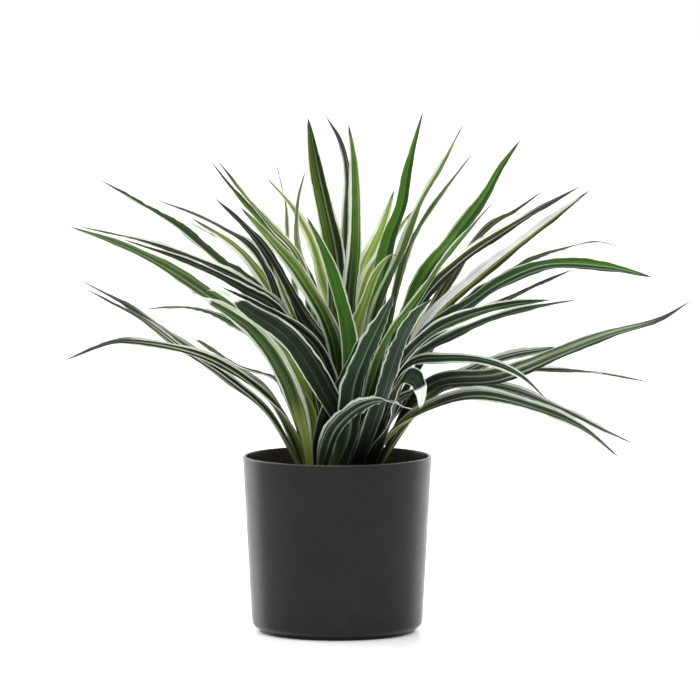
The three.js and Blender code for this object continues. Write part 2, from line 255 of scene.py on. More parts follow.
# The soil clears the pot's wall and floor by a hair, and is cut back round their corner.
soil_profile = [
    (0, inside + SOIL_GAP),
    (inside_radius - 7, inside + SOIL_GAP),
    (inside_radius - 0.9, inside + 6),
    *[(radius, SOIL_TOP) for radius in np.linspace(SOIL_EDGE - 0.2, CROWN_RADIUS - 1, 34)],
    (CROWN_RADIUS - 1, SOIL_TOP - 6),
]
soil_points, soil_faces = turned(soil_profile, SOIL_SIDES)
soil_points = np.array(soil_points, float)
top = soil_points[:, 2] == SOIL_TOP
reach = np.hypot(soil_points[:, 0], soil_points[:, 1])
bumpy = 0.5 * lumps(soil_points[:, 0], soil_points[:, 1], 3) - 0.6
bumpy *= np.minimum(1, 8 * towards_crown(reach) + 0.4)
soil_points[top, 2] = (soil_height(reach) + bumpy)[top]
soil_points = [tuple(point) for point in soil_points]
rng = np.random.default_rng(11)
for k in range(CRUMBS):
    size = rng.uniform(*(SMALL_CRUMB if k % LARGE_EVERY else LARGE_CRUMB))
    radius = math.sqrt(rng.uniform((CROWN_RADIUS + 1) ** 2, (SOIL_EDGE - size - 0.6) ** 2))
    turn = rng.uniform(0, 2 * math.pi)
    centre = (radius * math.cos(turn), radius * math.sin(turn), soil_height(radius) - 0.5 + 0.2 * size)
    add_crumb(soil_points, soil_faces, centre, size, rng)
bed = piece_of("soil_crumbly", soil_points, soil_faces, smooth_under=38)
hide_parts("soil")

peat, tree, shader, place = finish_of("dark_peat")
grit = noise(tree, place, 260, 6, 0.7)
body = blend(tree, ramp(tree, grit, 0.3, 0.72), paint("1d1611"), paint("4a392b"))
fibre = noise(tree, put(tree, "Mapping", {"Vector": place, "Scale": (1, 6, 1)}).outputs[0], 160, 4)
body = blend(tree, ramp(tree, fibre, 0.6, 0.72, 0, 0.5), body, paint("6d5640"))
tree.links.new(body, shader.inputs["Base Color"])
tree.links.new(ramp(tree, grit, 0.3, 0.7, 0.8, 1.0), shader.inputs["Roughness"])
shader.inputs["Specular IOR Level"].default_value = 0.25
relief(tree, shader, grit, 0.7, 0.0012)
bed.data.materials.append(peat)

# The crown is the short fleshy rootstock that every leaf grows from, pale green where the bases
# clasp it and browner outside. It sits in a hole in the soil and stands a few millimetres proud.
CROWN_RISE, CROWN_DEPTH, CROWN_EDGE, CROWN_CHAMFER, CROWN_MIDDLE, CROWN_SIDES = 3, 30, 3, 8, 18, 120
# How far apart the rings are that the leaves' bases leave on its top.
RING_SPACING = 5.4
CROWN_TOP = SOIL_TOP + CROWN_RISE
CROWN_FOOT = CROWN_TOP - CROWN_DEPTH
crown_profile = [
    (0, CROWN_FOOT),
    (CROWN_RADIUS - CROWN_CHAMFER, CROWN_FOOT),
    (CROWN_RADIUS, CROWN_FOOT + CROWN_CHAMFER),
    (CROWN_RADIUS, CROWN_FOOT + CROWN_MIDDLE),
    *corner(CROWN_RADIUS - CROWN_EDGE, CROWN_TOP - CROWN_EDGE, CROWN_EDGE, 0, 90, 6),
    *[(radius, CROWN_TOP) for radius in np.linspace(CROWN_RADIUS - CROWN_EDGE - 1, 1, 26)],
    (0, CROWN_TOP),
]
crown_points, crown_faces = turned(crown_profile, CROWN_SIDES)
crown_points = np.array(crown_points)
reach = np.hypot(crown_points[:, 0], crown_points[:, 1])
ringed = 0.5 * np.sin(reach * 2 * math.pi / RING_SPACING)
ringed += 0.4 * lumps(crown_points[:, 0] * 2, crown_points[:, 1] * 2, 8)
crown_points[:, 2] += np.where(crown_points[:, 2] > SOIL_TOP, np.minimum(ringed - 0.7, 0), 0)
rootstock = piece_of("crown_fleshy", crown_points, crown_faces)
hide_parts("crown")

flesh, tree, shader, place = finish_of("crown_flesh")
patch = noise(tree, place, 120, 4)
body = blend(tree, ramp(tree, patch, 0.35, 0.65), paint("93a45c"), paint("c9cf9b"))
body = blend(tree, ramp(tree, noise(tree, place, 300, 4), 0.55, 0.7, 0, 0.8), body, paint("7a5e3c"))
tree.links.new(body, shader.inputs["Base Color"])
tree.links.new(ramp(tree, patch, 0.3, 0.7, 0.5, 0.75), shader.inputs["Roughness"])
relief(tree, shader, noise(tree, place, 400, 4), 0.4, 0.0006)
rootstock.data.materials.append(flesh)

# The leaves are long straps, green in the middle with cream margins, folded to a channel at the
# base and flatter further out, with fine parallel veins and a thin tip. Each grows from the crown
# on its own root and arches out, with its margins in gentle waves.
# Where the plant is seen from: how far in front, how high, and how far to the right.
VIEW_DISTANCE, VIEW_HEIGHT, VIEW_ACROSS = 4500, 618, 10
# The rings of roots in the crown, each as its radius and the number of leaves in it.
RINGS = [(25, 20), (19.5, 16), (14, 11), (9, 7), (4, 3)]
# The size of a root, the thickness of a blade, and the fold in degrees at its base and its tip.
ROOT_DEPTH, ROOT_WIDTH, ROOT_THICKNESS, BLADE_THICKNESS = 9, 5.6, 1.1, 0.45
ROOT_FOLD, OPEN_FOLD = 30, 10
# The long waves of the margins, and their crimps, which are stronger in four of the finishes.
WAVE, WAVE_LENGTH, WAVE_SHIFT = 0.9, 62, 2.4
CRIMPED = ("shaded", "green_foot", "sage", "slate")
CRIMP, LIGHT_CRIMP, CRIMP_HEIGHT, CRIMP_BREADTH = 1, 0.35, 0.55, 0.04
# Half the width at a tip, how much narrower a twisted end is, and a share that no blade reaches.
TIP_HALF, RIBBON, BEYOND_TIP = 0.22, 0.55, 2
# How a leaf's depth grows along it, and the share of its length where its lean is taken.
DEPTH_EASE, LOWER_PART = 1.3, 0.3
# How far the pattern of one leaf lies from the next one's, so that no two are alike.
PATTERN_STEP = 7.3
# The stations along a blade, and the places across it from the left edge to the right.
STATIONS = 120
ACROSS = np.array([1, 0.97, 0.9, 0.78, 0.6, 0.38, 0.14, 0, -0.14, -0.38, -0.6, -0.78, -0.9, -0.97, -1])

# One row for each leaf: how far back its tip lies, its width, the degrees that its upper side
# turns to the front, its taper (higher keeps its breadth for longer), its finish, the shares of
# its left and right half that are cream, seen on the way to the tip, and its line as seen from
# the front. Some have more: the share of a pale middle stripe, the half that catches the light
# (1 for the left, -1 for the right), which is painted lighter while the other half gets painted
# shade, how far it is eased off a close neighbour towards its upper side, how many degrees
# further its outer half turns to the front, and where its dry white end starts and how many
# degrees that end is twisted.
Leaf = namedtuple(
    "Leaf", "back width turn taper finish left right line stripe lit eased turned_out white_from twist",
    defaults=(0, 0, 0, 0, BEYOND_TIP, 0))
LEAVES = [
    Leaf(70, 15, 12, 3, "slate", 0.3, 0.08, turned_out=14,
         line=[(-53, 260), (-93, 295), (-125, 322), (-156, 341), (-187, 359)]),
    Leaf(-30, 20, 42, 3, "bright_base", 0.12, 0.1, eased=-1.6,
         line=[(-16, 152), (-23, 186), (-41, 216), (-69, 242), (-106, 271), (-160, 303), (-211, 322)]),
    Leaf(45, 17, 17, 3, "night", 0.1, 0.3, eased=-0.8,
         line=[(-45, 256), (-75, 279), (-109, 295), (-148, 309), (-203, 322)]),
    Leaf(19, 17, 25, 3, "night", 0.15, 0.15,
         line=[(-45, 252), (-75, 272), (-109, 290), (-169, 312)]),
    Leaf(120, 13, -10, 5, "night", 0.28, 0.2, lit=1, turned_out=12,
         line=[(-60, 295), (-93, 322), (-141, 343)]),
    Leaf(155, 15, 0, 4, "olive", 0.5, 0.12, turned_out=14,
         line=[(-28, 236), (-56, 275), (-77, 302), (-115, 329)]),
    Leaf(185, 13, -20, 3, "moss", 0.25, 0.1, eased=-0.8,
         line=[(-43, 264), (-74, 299), (-117, 326)]),
    Leaf(28, 18, 27, 4, "night", 0.14, 0.06, eased=-0.8,
         line=[(-6, 218), (-27, 249), (-57, 302), (-77, 326), (-96, 344)]),
    Leaf(-10, 18, 52, 5, "sunlit", 0.32, 0.1, lit=-1,
         line=[(-3, 228), (-29, 281), (-53, 311), (-76, 337)]),
    Leaf(80, 13, 0, 4, "olive", 0.1, 0.2, lit=-1,
         line=[(-30, 295), (-52, 322), (-74, 348), (-94, 374)]),
    Leaf(100, 13, 0, 4, "moss", 0.12, 0.1, lit=1,
         line=[(-22, 280), (-41, 304), (-60, 326), (-83, 352), (-99, 373)]),
    Leaf(150, 16, -10, 4, "young", 0.35, 0.28, lit=1, eased=0.8,
         line=[(4, 224), (-10, 272), (-21, 311), (-36, 338), (-55, 360)]),
    Leaf(130, 10, -25, 3, "wisp", 0.12, 0.15, eased=0.8,
         line=[(-23, 276), (-32, 311), (-31, 343), (-25, 367)]),
    Leaf(190, 11, -50, 3, "wisp", 0.2, 0.2,
         line=[(-39, 311), (-41, 339), (-48, 372)]),
    Leaf(0, 17, 15, 4, "young", 0.25, 0.2, lit=1,
         line=[(-22, 215), (-34, 248), (-44, 272), (-52, 294)]),
    Leaf(-70, 18, 36, 2, "streaked", 0.12, 0.25, stripe=0.08, lit=-1,
         line=[(-28, 141), (-45, 173), (-72, 199), (-105, 218), (-148, 229), (-178, 230), (-216, 216)]),
    Leaf(0, 16, 30, 2, "streaked", 0.12, 0.25, stripe=0.06,
         line=[(-33, 135), (-57, 174), (-91, 203), (-125, 226), (-156, 249), (-198, 272)]),
    Leaf(50, 15, 25, 2, "streaked", 0.15, 0.3, lit=-1,
         line=[(-60, 192), (-113, 222), (-156, 253), (-202, 279)]),
    Leaf(180, 14, -12, 3, "bark", 0.1, 0.1, white_from=0.8,
         line=[(-45, 196), (-77, 210), (-109, 230), (-141, 248)]),
    Leaf(-80, 17, -42, 5, "gold_base", 0.2, 0.32, eased=-1.6, white_from=0.9, twist=150,
         line=[(-22, 134), (-29, 169), (-43, 207), (-65, 238), (-89, 256), (-117, 271)]),
    Leaf(-130, 20, -35, 5, "deep", 0.1, 0.1, white_from=0.85, twist=-170,
         line=[(5, 153), (-12, 194), (-37, 232), (-69, 255), (-91, 270), (-101, 272), (-106, 268)]),
    Leaf(-60, 17, -20, 4, "night", 0.06, 0.08, lit=1, eased=1.6,
         line=[(-8, 200), (-19, 227), (-47, 251), (-91, 274)]),
    Leaf(-90, 16, 10, 5, "fresh", 0.12, 0.12,
         line=[(9, 232), (1, 268), (-10, 302), (-24, 330)]),
    Leaf(60, 19, 0, 7, "tall", 0.12, 0.1, lit=1,
         line=[(-2, 291), (-10, 335), (-17, 367), (-23, 408)]),
    Leaf(100, 12, -5, 4, "bark", 0.26, 0.08,
         line=[(7, 323), (8, 360), (3, 388), (-9, 410)]),
    Leaf(22, 14, -8, 6, "leafy", 0.28, 0.12, lit=-1,
         line=[(10, 264), (14, 311), (13, 375), (9, 403)]),
    Leaf(170, 19, 0, 4, "young", 0.3, 0.3,
         line=[(12, 246), (21, 287), (36, 323), (45, 351)]),
    Leaf(80, 18, 15, 2.5, "fresh", 0.04, 0.03, lit=1, eased=-1.6,
         line=[(40, 309), (51, 339), (56, 368), (68, 414)]),
    Leaf(110, 18, 5, 4, "young", 0.35, 0.3,
         line=[(23, 276), (34, 299), (59, 334)]),
    Leaf(20, 15, 20, 4, "sunlit", 0.3, 0.1, lit=1,
         line=[(32, 257), (51, 302), (64, 337), (82, 369), (99, 402)]),
    Leaf(60, 13, 0, 4, "moss", 0.12, 0.15, lit=-1,
         line=[(46, 265), (57, 305), (76, 338), (106, 379)]),
    Leaf(-60, 15, 0, 5, "young", 0.15, 0.15,
         line=[(15, 238), (23, 264), (32, 287), (44, 300), (48, 298)]),
    Leaf(-150, 22, 5, 5, "green_foot", 0.1, 0.1, stripe=0.06, eased=0.8,
         line=[(9, 153), (13, 192), (22, 220), (34, 246), (45, 269)]),
    Leaf(-170, 15, 0, 9, "shaded", 0.08, 0.1, eased=-1.6,
         line=[(16, 137), (31, 175), (40, 202), (49, 228), (61, 251), (75, 265)]),
    Leaf(-160, 17, -20, 4, "sage", 0.16, 0.12, stripe=0.05,
         line=[(-6, 153), (1, 165), (20, 180), (38, 184), (54, 178), (64, 176)]),
    Leaf(-100, 22, 55, 4, "shaded", 0.06, 0.08, eased=-1.6, white_from=0.85,
         line=[(36, 153), (45, 178), (51, 195), (57, 203), (63, 201), (67, 190), (66, 175)]),
    Leaf(-70, 12, 0, 4, "shaded", 0.06, 0.08, lit=1,
         line=[(-15, 134), (-10, 169), (5, 202), (20, 232), (31, 249)]),
    Leaf(68, 9, 0, 4, "young", 0.3, 0.3,
         line=[(2, 262), (1, 291), (5, 311)]),
    Leaf(75, 19, 25, 4, "fresh", 0.1, 0.03, lit=1, eased=-0.8,
         line=[(68, 280), (91, 311), (116, 345), (131, 371), (145, 391)]),
    Leaf(-10, 14, 25, 4, "dim_base", 0.2, 0.04, lit=1,
         line=[(36, 224), (62, 262), (89, 301), (122, 340)]),
    Leaf(130, 14, 20, 3, "bark", 0.06, 0.06,
         line=[(116, 318), (143, 336), (162, 350)]),
    Leaf(50, 16, 38, 3, "umber", 0.28, 0.03, lit=1,
         line=[(64, 259), (96, 294), (137, 322), (192, 354)]),
    Leaf(15, 16, 45, 4, "lined", 0.74, 0.02, lit=1,
         line=[(74, 246), (112, 283), (155, 317), (200, 351)]),
    Leaf(90, 13, 12, 3, "slate", 0.1, 0.15,
         line=[(97, 256), (143, 290), (180, 305), (207, 310), (221, 307)]),
    Leaf(-20, 17, 33, 9, "split_base", 0.06, 0.08, lit=1, eased=-1.6,
         line=[(62, 228), (109, 264), (129, 277), (165, 291), (212, 290), (249, 282)]),
    Leaf(-60, 13, 20, 5, "night", 0.12, 0.1, turned_out=12,
         line=[(46, 209), (85, 240), (128, 261), (151, 272), (186, 288)]),
    Leaf(-112, 17, 50, 4, "crisp", 0.14, 0.14, stripe=0.04, lit=-1,
         line=[(46, 207), (75, 238), (105, 252), (137, 260), (169, 264)]),
    Leaf(-50, 17, 32, 3, "crisp", 0.16, 0.14,
         line=[(56, 211), (97, 238), (143, 255), (189, 264)]),
    Leaf(180, 13, -25, 3, "olive", 0.3, 0.3,
         line=[(62, 242), (82, 267), (112, 285)]),
    Leaf(0, 20, 55, 1.8, "pale", 0.12, 0.08, lit=1,
         line=[(74, 194), (129, 203), (177, 222), (216, 237), (255, 248), (280, 263)]),
    Leaf(-108, 13, 40, 3, "crisp", 0.24, 0.3, turned_out=14,
         line=[(56, 211), (85, 217), (117, 215), (145, 204), (165, 186)]),
    Leaf(26, 14, 23, 3, "slate", 0.3, 0.3, stripe=0.1,
         line=[(-60, 228), (-87, 247), (-106, 255), (-122, 258), (-150, 257)]),
    Leaf(130, 13, 10, 6, "night", 0.2, 0.1, turned_out=5,
         line=[(58, 184), (100, 204), (146, 207), (193, 207), (246, 199)]),
    Leaf(-50, 18, 37, 3, "outer", 0.24, 0.2,
         line=[(28, 134), (46, 159), (78, 180), (113, 188), (161, 177), (195, 162), (223, 139)]),
    Leaf(35, 18, 32, 3, "outer", 0.26, 0.2, lit=1,
         line=[(85, 194), (129, 194), (177, 177), (212, 160), (234, 150)]),
    Leaf(230, 16, -28, 3, "moss", 0.25, 0.25,
         line=[(18, 172), (30, 200), (42, 209), (53, 203)]),
    Leaf(48, 13, 22, 12, "outer", 0.26, 0.12, turned_out=12,
         line=[(45, 180), (82, 196), (113, 211), (137, 219), (174, 226)]),
]

# The green on the side of a blade that faces the front, the paler green of its veins, which also
# paints light on the half that catches it, the green of its other side, its cream, the green at its
# base, which is painted shade where it is near black, and the green further out. Then the shares of
# its length where the base's green ends and where the dark end of the blade starts, how strong its
# fine lines are, how much of the half away from the light is painted shade at its edge, the share
# of light that it lets through, and that light's colour.
Finish = namedtuple(
    "Finish",
    "green vein other_green cream base_green far_green base_reach dark_from lines dark_edge glow light")
FINISHES = {
    "night": Finish("0a1606", "1f3315", "1a2a12", "d2d8c9", "081205", "12200b",
        0.34, 0.88, 0.15, 0, 0.02, "8fa27c"),
    "deep": Finish("131d12", "2b3b29", "26391d", "cdd4c2", "10180e", "1f2c1a",
        0.34, 0.9, 0.06, 0, 0.04, "8fa27c"),
    "slate": Finish("1a2a17", "3a5230", "2e4a22", "c4cdbc", "161f12", "2f4527",
        0.34, 0.9, 0.12, 0, 0.05, "8fa27c"),
    "outer": Finish("2b3a2b", "4f6344", "2e4a22", "d4dacd", "8fa14e", "46593f",
        0.42, 0.93, 0.6, 0, 0.06, "8fa27c"),
    "crisp": Finish("0f1d0d", "34502a", "2e4a22", "d4dacd", "121c0e", "23361f",
        0.34, 0.93, 0.2, 0, 0.05, "8fa27c"),
    "shaded": Finish("1f2d20", "38503a", "18231e", "bcc6b2", "0f160e", "273829",
        0.5, 0.98, 0.06, 0, 0.03, "8fa27c"),
    "green_foot": Finish("223221", "38503a", "18231e", "bcc6b2", "425328", "2c402c",
        0.22, 0.98, 0.12, 0, 0.03, "8fa27c"),
    "streaked": Finish("26331f", "62743a", "2e4a22", "d2d9cc", "5c6c30", "29362a",
        0.4, 0.74, 1, 0, 0.07, "a2b080"),
    "sage": Finish("222f27", "56694e", "1b2620", "c2cbb8", "3c4c30", "304033",
        0.3, 0.94, 0.6, 0, 0.03, "a2b080"),
    "bright_base": Finish("2c4e20", "708a50", "2b4024", "d6dec8", "8a9e42", "425f2e",
        0.6, 0.95, 0.3, 0, 0.14, "9ab06a"),
    "gold_base": Finish("1c3216", "627f3c", "243026", "ccd4be", "8f9c48", "26421a",
        0.4, 0.94, 0.15, 0, 0.06, "9ab06a"),
    "moss": Finish("28461a", "6c8830", "243026", "e6ebdc", "42541f", "3c5c22",
        0.34, 0.88, 0.2, 0, 0.1, "9ab06a"),
    "bark": Finish("101806", "66762a", "1e2412", "eceee6", "0f160a", "1a1f0c",
        0.34, 0.84, 0.3, 0, 0.04, "9ab06a"),
    "leafy": Finish("0a2602", "548426", "243026", "e9ede2", "0b1c07", "5c8a2a",
        0.85, 0.97, 0.2, 0, 0.1, "9ab06a"),
    "tall": Finish("16280a", "5c7726", "1e2412", "eef0e6", "0f1c08", "2a3f10",
        0.34, 0.95, 0.15, 0, 0.04, "9ab06a"),
    "wisp": Finish("44581f", "8f9f62", "3f4f31", "e6ebd8", "5c7030", "70804c",
        0.34, 0.93, 0.3, 0, 0.15, "b0be7a"),
    "umber": Finish("0d1409", "5d6c28", "2a3420", "eceee6", "0c120a", "1a220f",
        0.34, 0.8, 0.7, 0.3, 0.03, "9ab06a"),
    "lined": Finish("a3aa3c", "b8bc54", "3f4f31", "eaeaee", "7d8a3e", "a8aa44",
        0.3, 0.94, 0.1, 0.6, 0.1, "b4bf86"),
    "olive": Finish("48631f", "9cb056", "3f4f31", "e6ebd8", "7d8a44", "5a6f2c",
        0.34, 0.88, 0.35, 0, 0.18, "b0be7a"),
    "fresh": Finish("255610", "568826", "2b4024", "d8e0ca", "24460f", "37691c",
        0.4, 0.95, 0.08, 0, 0.12, "9ab06a"),
    "sunlit": Finish("244f0a", "66942f", "2b4024", "e2e8d6", "0c2404", "86a548",
        0.85, 0.97, 0.3, 0, 0.18, "a6bc66"),
    "split_base": Finish("1f4a0e", "4f7f20", "2b4024", "dce1e2", "18221f", "2c5a16",
        0.9, 0.95, 0.4, 0.2, 0.1, "9ab06a"),
    "dim_base": Finish("275412", "649430", "2b4024", "d6dfc8", "0c180a", "3c6a1a",
        0.5, 0.95, 0.3, 0, 0.16, "9ab06a"),
    "young": Finish("7a9736", "aebf66", "6f8d48", "e9eed8", "97aa48", "7c9836",
        0.34, 0.98, 0.3, 0, 0.35, "c0d086"),
    "pale": Finish("2c3c33", "93a684", "3c4f30", "d8deca", "121a16", "869a78",
        0.62, 0.84, 0.6, 0.25, 0.1, "a9bb8c"),
}


def spline(points, t):
    """Places on a smooth line through points, where t runs evenly over the spans between them."""
    points = np.asarray(points, float)
    points = np.vstack([2 * points[0] - points[1], points, 2 * points[-1] - points[-2]])
    spans = len(points) - 3
    at = np.clip(np.asarray(t, float) * spans, 0, spans)
    i = np.minimum(at.astype(int), spans - 1)
    w = (at - i)[:, None]
    p0, p1, p2, p3 = (points[i + k] for k in range(4))
    pairs = ((p0, p1), (p1, p2), (p2, p3))
    d0, d1, d2 = (np.sqrt(np.linalg.norm(b - a, axis=1))[:, None] for a, b in pairs)
    t1 = ((p1 - p0) / d0 - (p2 - p0) / (d0 + d1) + (p2 - p1) / d1) * d1
    t2 = ((p2 - p1) / d1 - (p3 - p1) / (d1 + d2) + (p3 - p2) / d2) * d1
    return p1 + t1 * w + (3 * (p2 - p1) - 2 * t1 - t2) * w**2 + (2 * (p1 - p2) + t1 + t2) * w**3


def walk(points, shares):
    """The places and directions at shares of a line's length, and its length."""
    t = np.linspace(0, 1, 201)
    rough = spline(points, t)
    along = np.concatenate([[0], np.cumsum(np.linalg.norm(np.diff(rough, axis=0), axis=1))])
    at = np.interp(np.asarray(shares) * along[-1], along, t)
    way = spline(points, np.minimum(at + 1e-4, 1)) - spline(points, np.maximum(at - 1e-4, 0))
    return spline(points, at), way / np.linalg.norm(way, axis=1)[:, None], along[-1]


def smooth(start, end, value):
    """0 before start, 1 after end, and an even ease between them."""
    x = np.clip((value - start) / (end - start), 0, 1)
    return x * x * (3 - 2 * x)


def root_places():
    """Each leaf's root as (radius, angle): those that lean out most stand in the outer ring."""
    waiting = []
    for number, plan in enumerate(LEAVES):
        low = walk([(0, CROWN_TOP)] + plan.line, [LOWER_PART])[0][0]
        back, rise = plan.back * LOWER_PART**DEPTH_EASE, low[1] - CROWN_TOP
        waiting.append((math.hypot(low[0], back) / rise, math.atan2(back, low[0]), number))
    waiting.sort(key=lambda entry: -entry[0])
    roots = {}
    for radius, count in RINGS:
        here, waiting = sorted(waiting[:count], key=lambda entry: entry[1]), waiting[count:]
        drift = [entry[1] - 2 * math.pi * i / count for i, entry in enumerate(here)]
        start = math.atan2(sum(map(math.sin, drift)), sum(map(math.cos, drift)))
        for i, entry in enumerate(here):
            roots[entry[2]] = (radius, start + 2 * math.pi * i / count)
    return roots


def leaf_line(depth, line, root):
    """A leaf's line in the object's frame, from its line as seen from the front."""
    seen_rise = root[1] * (VIEW_HEIGHT - CROWN_TOP) / VIEW_DISTANCE
    seen = np.array([(root[0], CROWN_TOP + seen_rise)] + line, float)
    along = np.cumsum(np.linalg.norm(np.diff(seen, axis=0), axis=1))
    back = root[1] + (depth - root[1]) * (along / along[-1]) ** DEPTH_EASE
    grow = 1 + back / VIEW_DISTANCE
    x = VIEW_ACROSS + (seen[1:, 0] - VIEW_ACROSS) * grow
    z = VIEW_HEIGHT + (seen[1:, 1] - VIEW_HEIGHT) * grow
    return np.vstack([root, np.column_stack([x, back, z])])


def turned_about(vectors, axes, angles):
    """Each vector turned about its axis."""
    cos, sin = np.cos(angles)[:, None], np.sin(angles)[:, None]
    dot = np.sum(axes * vectors, axis=1)[:, None]
    return vectors * cos + np.cross(axes, vectors) * sin + axes * dot * (1 - cos)


def ripple(run, rng, shortest, longest):
    """An uneven wave along a blade, made of six waves of any length between two bounds."""
    waves = [np.sin(2 * math.pi * run / rng.uniform(shortest, longest) + rng.uniform(0, 6))
             for _ in range(6)]
    return sum(waves) / 2.2


def blade(number, radius, root_angle):
    """The points of a blade, station by station, their shares of its length, and its facing.

    A row of points goes over the upper side and back along the lower side. The facing is 1 where
    the upper side is the one seen from the front, and -1 where the lower side is.
    """
    plan = LEAVES[number]
    crimped = CRIMP if plan.finish in CRIMPED else LIGHT_CRIMP
    rng = np.random.default_rng(100 + number)
    root = np.array([radius * math.cos(root_angle), radius * math.sin(root_angle), CROWN_TOP])
    share = np.linspace(0, 1, STATIONS) ** 0.92
    centre, along, length = walk(leaf_line(plan.back, plan.line, root), share)
    run = share * length
    # At its base the blade lies round the crown, and it swings to its own heading as it rises.
    tip = centre[-1] - root
    heading = math.atan2(tip[1], tip[0])
    swing = math.atan2(math.sin(heading - root_angle), math.cos(heading - root_angle))
    angle = root_angle + swing * smooth(0, 0.3, share)
    side = np.column_stack([-np.sin(angle), np.cos(angle), np.zeros(STATIONS)])
    side -= along * np.sum(side * along, axis=1)[:, None]
    side /= np.linalg.norm(side, axis=1)[:, None]
    # It rolls its upper side to the front, is eased off its neighbour, and may twist at its end.
    handed = np.sign(centre[-1, 0])
    roll, turned_out = math.radians(plan.turn) * handed, math.radians(plan.turned_out) * handed
    rolled = roll * smooth(0.05, 0.45, share) + turned_out * smooth(0.35, 0.7, share)
    twisted = smooth(plan.white_from - 0.03, plan.white_from + 0.1, share)
    side = turned_about(side, along, rolled + math.radians(plan.twist) * twisted)
    up = np.cross(along, side)
    eased = plan.eased * smooth(0, 0.12, share) * (1 - smooth(0.45, 0.75, share))
    centre = centre + up * eased[:, None]
    # Its breadth, fold and thickness, and the waves and crimps of its two margins.
    broad = ROOT_WIDTH + (plan.width - ROOT_WIDTH) * smooth(-0.1, 0.34, share)
    half = np.maximum(TIP_HALF, broad / 2 * (1 - share**plan.taper) ** 0.85)
    if plan.twist:
        half *= 1 - RIBBON * smooth(plan.white_from - 0.03, plan.white_from + 0.03, share)
    fold = np.radians(ROOT_FOLD - (ROOT_FOLD - OPEN_FOLD) * smooth(0, 0.7, share))
    thick = ROOT_THICKNESS + (BLADE_THICKNESS - ROOT_THICKNESS) * smooth(0, 0.4, share)
    thick = np.minimum(thick, 0.25 + half * 0.5)
    swell = WAVE * smooth(0.2, 0.5, share) * (1 - smooth(0.8, 1, share))
    at = 2 * math.pi * share * length / WAVE_LENGTH + number * WAVE_SHIFT
    fade = smooth(0.25, 0.5, share) * (1 - smooth(0.88, 1, share))
    lifts, pulls = [], []
    for margin in range(2):
        crimp = ripple(run, rng, 7, 32)
        lifts.append(swell * np.sin(at + 2 * margin) + crimped * CRIMP_HEIGHT * fade * crimp)
        waver = ripple(run, rng, 6, 30)
        pulls.append(1 + CRIMP_BREADTH * crimped * fade * waver)
    # Its upper and its lower side, from margin to margin, and its root straight down from them.
    upper, lower = [], []
    for u in ACROSS:
        edge, margin = abs(u), 0 if u > 0 else 1
        lift = lifts[margin] * edge**3
        reach = half * pulls[margin]
        rise = np.sin(fold) * half * (edge**1.5) + lift
        here = centre + side * (np.cos(fold) * reach * u)[:, None] + up * rise[:, None]
        upper.append(here)
        lower.append(here - up * (thick * (1 - 0.6 * edge**3) / np.cos(fold))[:, None])
    rows = np.stack(upper + lower[::-1], axis=1)
    below = rows[0].copy()
    below[:, 2] -= ROOT_DEPTH
    to_front = np.sum(up[STATIONS // 2] * np.array([0, -1, 0.1])) > 0
    return np.vstack([below[None], rows]), np.concatenate([[0], share]), 1 if to_front else -1


def blade_faces(stations, ring):
    """The faces of a closed blade, from rings of points one after the other."""
    faces = []
    for i in range(stations - 1):
        for k in range(ring):
            a, b = i * ring + k, i * ring + (k + 1) % ring
            faces.append((a, b, b + ring, a + ring))
    faces.append(tuple(range(ring))[::-1])
    faces.append(tuple(range((stations - 1) * ring, stations * ring)))
    return faces


def group(name, takes, gives):
    """A node group with named inputs and outputs, and its two end nodes."""
    tree = bpy.data.node_groups.new(name, "ShaderNodeTree")
    for title, kind, value in takes:
        socket = tree.interface.new_socket(title, in_out="INPUT", socket_type="NodeSocket" + kind)
        socket.default_value = value
    for title, kind in gives:
        tree.interface.new_socket(title, in_out="OUTPUT", socket_type="NodeSocket" + kind)
    return tree, tree.nodes.new("NodeGroupInput").outputs, tree.nodes.new("NodeGroupOutput").inputs


# Streaks, veins, cream margins, a pale base and a dry tip, over a blade's length and width,
# with painted light and shade on its two halves and painted shade at the darker bases.
variegation, given, out = group(
    "variegation",
    [("Across", "Float", 0), ("Along", "Float", 0), ("Under", "Float", 0), ("Place", "Vector", (0, 0, 0)),
     ("Green", "Color", paint("3d5230")), ("Vein", "Color", paint("5c7040")),
     ("Other Green", "Color", paint("3d5230")), ("Cream", "Color", paint("dddddd")),
     ("Base Green", "Color", paint("66783a")), ("Far Green", "Color", paint("3d5230")),
     ("Left Cream", "Float", 0.3), ("Right Cream", "Float", 0.3), ("Stripe", "Float", 0),
     ("Lit Side", "Float", 0), ("Base Reach", "Float", 0.34), ("Dark From", "Float", 0.9),
     ("Lines", "Float", 0.5), ("Dark Edge", "Float", 0), ("White From", "Float", BEYOND_TIP),
     ("Seed", "Float", 0)],
    [("Colour", "Color"), ("Roughness", "Float"), ("Height", "Float")])
tree = variegation


def lengthwise(across_by, along_by, detail, rough=0.6):
    """Noise drawn out along the blade."""
    run = put(tree, "CombineXYZ", {0: reckon(tree, "MULTIPLY", given["Across"], across_by),
                                   1: reckon(tree, "MULTIPLY", given["Along"], along_by), 2: given["Seed"]})
    return noise(tree, run.outputs[0], 1.0, detail, rough)


